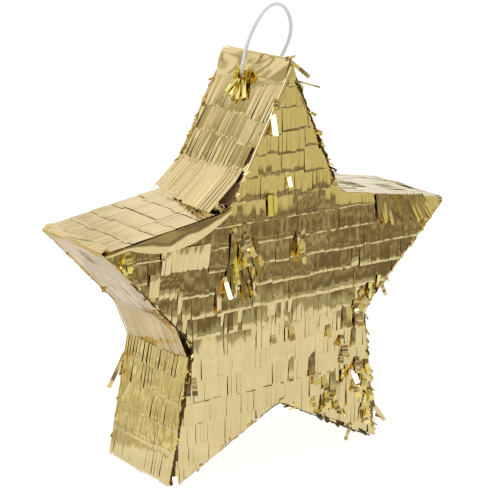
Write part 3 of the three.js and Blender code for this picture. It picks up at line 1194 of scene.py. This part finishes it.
def add_flock(foil, centre, spread, count, seed):
    """Bent and twisted strips hanging over a place on the front, where the foil was rubbed up."""
    rng = random.Random(seed)
    for _ in range(count):
        x = (centre[0] + rng.gauss(0, spread[0])) * MM
        z = (centre[1] + rng.gauss(0, spread[1])) * MM
        if not any(low < z < high - 8 * MM for low, high in column_spans(-1, x)):
            continue
        start = Vector((x, -BOARD_Y - rng.uniform(2.2, 3.4) * MM, z + 6 * MM))
        towards = Vector((rng.gauss(0, 0.22), rng.uniform(-0.3, 0.04), -1))
        length, width = rng.uniform(8, 15) * MM, rng.uniform(2.8, 5.2) * MM
        sag = rng.uniform(-2.4, 1.0) * MM
        free_strip(foil, start, towards, (0, -1, 0), length, width, sag, rng.gauss(0, 0.4), 0.5)


def add_fan(foil, first, last, count, lean, seed):
    """Strips that fan out side by side along a line on the front, leaning more and more."""
    rng = random.Random(seed)
    for number in range(count):
        share = number / (count - 1)
        x, z = (blend(a, b, share) for a, b in zip(first, last))
        start = Vector((x * MM, -BOARD_Y - rng.uniform(2.6, 3.0) * MM, z * MM))
        towards = Vector((blend(*lean, share) + rng.gauss(0, 0.06), -0.02, -1))
        length, width = rng.uniform(20, 27) * MM, rng.uniform(2.6, 3.8) * MM
        sag = rng.uniform(-0.9, 0.5) * MM
        free_strip(foil, start, towards, (0, -1, 0), length, width, sag, rng.gauss(0, 0.1), 0.5)


def upright(flat):
    """A direction in X and Z as one in space."""
    return Vector((flat.x, 0, flat.y))


def any_way(rng):
    return Vector((rng.gauss(0, 1), rng.gauss(0, 1), rng.gauss(0, 1)))


def add_tuft(material):
    """A pinch of foil tied round the loop where it goes into the arm, with its ends hanging."""
    edge = Edge(0, 1)
    rng = random.Random(71)
    foil = Foil()
    out = upright(edge.out)
    down = upright(edge.along)
    heart = Vector(edge.place(LOOP_Y + 2 * MM, 18.5 * MM, 4.8 * MM))
    for _ in range(TUFT_CURLS):
        away = any_way(rng).normalized()
        start = heart + away * rng.uniform(0.5, 3) * MM
        reach = rng.uniform(3, 6.5) * MM
        bend = rng.uniform(-2, 2) * MM
        up = any_way(rng)
        free_strip(foil, start, away, up, reach, rng.uniform(1.5, 3) * MM, bend, rng.uniform(-2, 2), 0.6)
    for number in range(TUFT_TAILS):
        fan = -0.42 + 0.13 * number
        towards = down + Vector((0, -fan, 0)) + out * rng.uniform(-0.03, 0.12)
        start = heart + Vector((0, -fan * 6 * MM, 0)) + out * rng.uniform(-0.5, 1.5) * MM
        length = rng.uniform(15, 22) * MM
        free_strip(
            foil, start, towards, out, length, rng.uniform(2, 3.2) * MM,
            rng.uniform(0, 2) * MM, rng.uniform(-0.7, 0.7), rng.uniform(0.2, 1),
        )
    free_strip(foil, heart, down * 0.8 + Vector((0, 0.75, 0)), out, 19 * MM, 3 * MM, 1 * MM, 0.4, 0.9)
    foil.make("foil_tuft", material, "star", ["loop_tuft"])


# ---- where the loose and rolled foil is

# The edges whose foil is rolled over: tip, turn, facing, start, end, radius and crumple
ROLLS = (
    (0, 1, -1, 2, 97, 1.2, 0.08),
    (4, 1, -1, 4, 108, 0.6, 0.4),
    (4, -1, -1, 4, 112, 0.6, 0.6),
)

# The front edges where near-black rolls of foil stand for the shade in the gaps and under the cut
# hems, as painted shade: tip, turn, start, end, radius, how far ahead of the board and how high
SHADED_CRUMPLE = 0.7
SHADED_ROLLS = (
    (0, 1, 46, 98, 1.6, -1.2, 0.6),
    (0, -1, 12, 104, 1, 1.1, 2.1),
    (1, 1, 36, 112, 0.7, 1.5, 2.5),
    (2, -1, 5, 52, 0.9, 1.1, 1.7),
    (2, -1, 52, 110, 1.5, 1.1, 1.7),
    (2, 1, 6, 112, 0.6, 0.4, 3.9),
    (3, -1, 6, 112, 0.8, 0.6, 3.1),
    (3, 1, 6, 112, 0.8, 0.9, 1.9),
)

# Short torn strips along the edges: tip, turn, facing, start, end, how many and reach
TATTERS = (
    (0, 1, -1, 60, 105, 8, 4),
    (0, 1, 1, 20, 110, 24, 4.5),
    (1, 1, -1, 20, 112, 14, 3),
    (1, 1, 1, 30, 100, 4, 3),
    (2, -1, 1, 15, 112, 8, 3.5),
    (2, 1, -1, 8, 100, 16, 2.6),
    (3, 1, -1, 8, 110, 18, 5),
    (4, -1, -1, 8, 112, 12, 4),
)
DEEP_TATTERS = (
    (0, -1, -1, 10, 105, 24, 5.5),
    (2, -1, -1, 34, 108, 12, 3),
    (3, 1, -1, 8, 110, 12, 5),
    (4, -1, -1, 8, 112, 8, 4),
)
# Near-black strips: painted shade among the torn strips along the edges
SHADED_TATTERS = (
    (0, -1, -1, 10, 105, 14, 4.5),
    (3, -1, -1, 8, 80, 26, 6),
    (3, 1, -1, 8, 110, 8, 4),
    (4, -1, -1, 8, 112, 12, 4),
)

# Loose strips that stand out on their own: start and end in mm, width, sag and twist
LOOSE_STRIPS = (
    ((-1, -41, 313), (16, -43, 300.5), 3, 1, 0.5),
    ((-5, -39, 315), (3, -41, 317), 3.6, 0.3, 0.9),
    ((6, -40, 298), (27, -42, 292), 1.3, 0.4, 0.3),
    ((101, -39, 128), (104, -43, 118), 3, 0.8, 0.8),
    ((107, -38, 134), (109, -42, 125), 2.6, 0.8, -0.8),
    ((-49, -41.6, 194), (-40, -45, 172), 3.6, -2, 0.3),
    ((-40, -41.6, 190), (-33, -45.5, 171), 3.8, -1.5, 0.5),
    ((-37, -41.6, 156), (-29, -45, 140), 3.4, 1, -0.3),
    ((35, -41, 67), (36, -43.6, 56), 6, 0.2, 0),
    ((44, -41, 61), (46, -43, 50), 4.6, -0.4, 0.2),
    ((9, -41, 108), (10, -42.8, 97), 5.5, 0.2, 0),
    ((-8, -41, 104), (-8, -42.6, 98), 4.4, 0.2, 0),
    ((46, -41, 103), (47, -43, 93), 4.5, 0.2, 0.1),
    ((62, -41, 81), (60, -43.5, 69), 4, 0.6, 0.4),
    ((95, -41, 33), (95, -43, 25), 5.5, 0.3, 0.2),
    ((74, -42, 16), (67, -45, 4), 3, 0.6, 0.4),
    ((98, -42, 26), (110, -43, 11), 3.6, 0.8, 0.7),
    ((100, -42, 18), (112, -42, 12), 3, 0.8, -0.7),
    ((-90, 39, 81), (-102, 41, 55), 3.2, 0.8, 0.5),
    ((-89, 38, 85), (-98, 40, 66), 2.4, 0.8, -0.5),
    ((-16.5, -41, 275.5), (-17, -46, 260.5), 4.8, 0, 0),
    ((0.5, -41.5, 226.5), (1, -44, 219.5), 3.4, 0, 0),
    ((72, -44, 61), (73.4, -48.5, 52), 4.6, 0, 0),
    ((-98.3, -42.2, 9.5), (-99.2, -45.5, 3.5), 4.2, 0, 0),
    ((76, -42, 52), (75, -45, 43), 3.4, 0.4, 0.2),
    ((-82, -41, 84), (-83, -45, 71), 4.2, 0.5, 0.5),
    ((-57, -42, 158), (-55, -46.8, 142), 3.6, -1.2, 0),
)

LOOSE_DEEP_STRIPS = (
    ((-17, -41.9, 215), (-16.5, -43.6, 199), 4.4, 0.3, 0.1),
    ((-12, -41.9, 214), (-12, -43.4, 199), 3.6, 0.3, -0.1),
    ((-15, -41.6, 287), (-15, -43, 279), 3.4, 0.3, 0.3),
    ((-48, -41.6, 174), (-46, -44, 151), 2.8, -1.2, 0.4),
    ((-44, -41.6, 184), (-43, -44, 166), 2.4, -1.2, -0.5),
    ((34, -41, 46), (34, -44, 35), 3.4, -1, 0.6),
    ((62, -41, 36), (66, -44, 24), 3.4, -1, -0.5),
    ((64, -41, 84), (66, -44, 72), 3, -0.8, 0.6),
    ((24, -40, 44), (5, -42, 43.5), 2.4, 1, 1),
    ((32, -40, 41), (10, -42, 40.5), 2, 1, -0.6),
)

# Rubbed-up places on the front: middle, spread, how many strips
FLOCKS = (
    ((-40, 174), (4, 6), 3),
    ((-68, 205), (5, 3), 7),
    ((86, 58), (5, 8), 7),
    ((92, 30), (4, 9), 6),
    ((62, 84), (4, 6), 2),
    ((62, 46), (9, 8), 3),
    ((96, 92), (4, 6), 4),
    ((82, 110), (5, 7), 5),
)
DEEP_FLOCKS = (
    ((-37, 168), (4, 6), 3),
    ((13, 168), (1.6, 2), 5),
    ((-142, 180), (3, 4), 5),
    ((88, 54), (5, 8), 8),
    ((90, 28), (4, 8), 6),
    ((88, 118), (4, 5), 4),
    ((54, 40), (9, 4), 4),
    ((70, 58), (6, 6), 2),
    ((99, 122), (3, 5), 3),
)

# Fans of strips on the front: from, to, how many, how their lean grows, and seed
FANS = (
    ((90, 202), (136, 196.5), 16, (0.2, 0.7), 791),
    ((-50, 190), (-30, 184), 5, (0.05, 0.35), 792),
    ((-52, 167), (-33, 162), 4, (-0.1, 0.3), 794),
)
DEEP_FANS = (
    ((92, 201), (134, 196), 12, (0.25, 0.75), 790),
    ((-47, 187), (-33, 178), 4, (-0.1, 0.3), 793),
    ((-50, 166), (-38, 160), 3, (0.1, 0.4), 795),
)


def add_each(add, foil, table, first_seed):
    """Adds what each line of a table says, every line with its own seed."""
    for number, line in enumerate(table):
        add(foil, *line, first_seed + number)


def add_loose_strips(foil, strips):
    for start, end, width, sag, twist in strips:
        start, end = Vector(start) * MM, Vector(end) * MM
        towards = end - start
        free_strip(foil, start, towards, (0, -1, 0.2), towards.length, width * MM, sag * MM, twist, 0.5)


def add_loose_foil(name, material, tatters, strips, flocks, fans, first_seeds):
    """All the torn, loose and rubbed-up strips that are cut from one colour of foil."""
    foil = Foil()
    add_each(add_tatters, foil, tatters, first_seeds[0])
    add_loose_strips(foil, strips)
    add_each(add_flock, foil, flocks, first_seeds[1])
    for fan in fans:
        add_fan(foil, *fan)
    foil.make(name, material)


def add_edge_rolls(material):
    foil = Foil()
    for tip, turn, facing, start, end, radius, crumple in ROLLS:
        edge_roll(foil, tip, turn, facing, start, end, radius, crumple, tip * 10 + turn)
    foil.make("foil_edge_rolls", material)


# Near-black rolled edges and strips: painted shade in the gaps beside the edges and under the cut hems
def add_painted_shade_rolls(material):
    foil = Foil()
    for tip, turn, start, end, radius, ahead, height in SHADED_ROLLS:
        place = (ahead * MM, height * MM)
        edge_roll(foil, tip, turn, -1, start, end, radius, SHADED_CRUMPLE, tip * 7 + turn, place)
    add_each(add_tatters, foil, SHADED_TATTERS, 680)
    foil.make("foil_painted_shade_rolls", material)


# ---- the rows of fringe and the foil over the tips

# Crumpled places on the front: x, z, reach and strength
FRONT_SPOTS = (
    (-38, 164, 18, 0.4),
    (-53, 142, 10, 0.35),
    (13, 168, 8, 0.8),
    (-143, 182, 12, 0.8),
    (88, 56, 16, 0.25),
    (98, 25, 16, 0.25),
)

SETTLED_BELOW = 80 * MM
STEPPED_ABOVE = 208 * MM
STEPPED = Manner(lift=0.24, hem=0.8, slits=0.8, curl=1.7)
CALM = Manner(lift=0.15, slits=0.4, flames=0.07, curl=1.5)
SETTLED = Manner(lift=0.22, slits=0.6, lifted=0.0, curl=-1.1)

# How the foil is folded over each tip, in the order of TIPS
FOLDS = (
    Fold(1.6, 0.45, 2.4, crest=(6.1, 3.8), bulge=4.0, crease=0.7),
    Fold(8.0, 0.9, 4.0),
    Fold(2.0, 0.3, 1.1),
    Fold(2.0, 0.3, 1.1),
    Fold(7.0, 0.6, 3.0),
)

def front_manner(node):
    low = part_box(node)[0].z
    if low > STEPPED_ABOVE:
        return STEPPED
    return CALM if low > SETTLED_BELOW else SETTLED


def nodes_of(*starts):
    return [name for name in sorted(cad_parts) if name.startswith(starts)]


def add_fringe(material):
    for number, node in enumerate(nodes_of("front_fringe")):
        name = node.replace("front_fringe", "foil_front")
        face_rows(name, node, -1, 100 + number, material, front_manner(node), spots=FRONT_SPOTS)
    for number, node in enumerate(nodes_of("back_fringe")):
        name = node.replace("back_fringe", "foil_back")
        face_rows(name, node, 1, 200 + number, material, CALM)
    face_rows("foil_flap", "flap_fringe", 1, 500, material, CALM, body="flap")
    for number, key in enumerate(SIDES):
        side_rows(key, 300 + number, material)
    for tip, fold in enumerate(FOLDS):
        ridge_foil(tip, material, 400 + tip, fold)


def paint_board(material):
    for name in nodes_of("front_panel", "back_panel", "wall_", "filler_flap"):
        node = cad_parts[name]
        node.data.materials.clear()
        node.data.materials.append(material)


# ---- build

add_camera()
cord_white = cord_material()
add_loop(cord_white)
add_knot(cord_white)
add_studio()

champagne = foil_material("champagne_foil", (0.80, 0.66, 0.35), (0.68, 0.52, 0.22), 0.055)
deep_gold = foil_material("deep_gold_foil", (0.88, 0.76, 0.28), (0.76, 0.6, 0.12), 0.08)
# A near-black copy of the foil, used as painted shade in gaps and under cut edges
shaded = foil_material("painted_shade_foil", (0.13, 0.075, 0.02), (0.012, 0.007, 0.003), 0.12)
paint_board(board_material())
add_fringe(champagne)
add_edge_rolls(champagne)
add_painted_shade_rolls(shaded)
add_loose_foil("foil_tatters", champagne, TATTERS, LOOSE_STRIPS, FLOCKS, FANS, (600, 700))
add_loose_foil(
    "foil_deep_tatters", deep_gold, DEEP_TATTERS, LOOSE_DEEP_STRIPS, DEEP_FLOCKS, DEEP_FANS, (650, 750)
)
arm_band(champagne, Edge(1, -1), 3)
add_tuft(deep_gold)
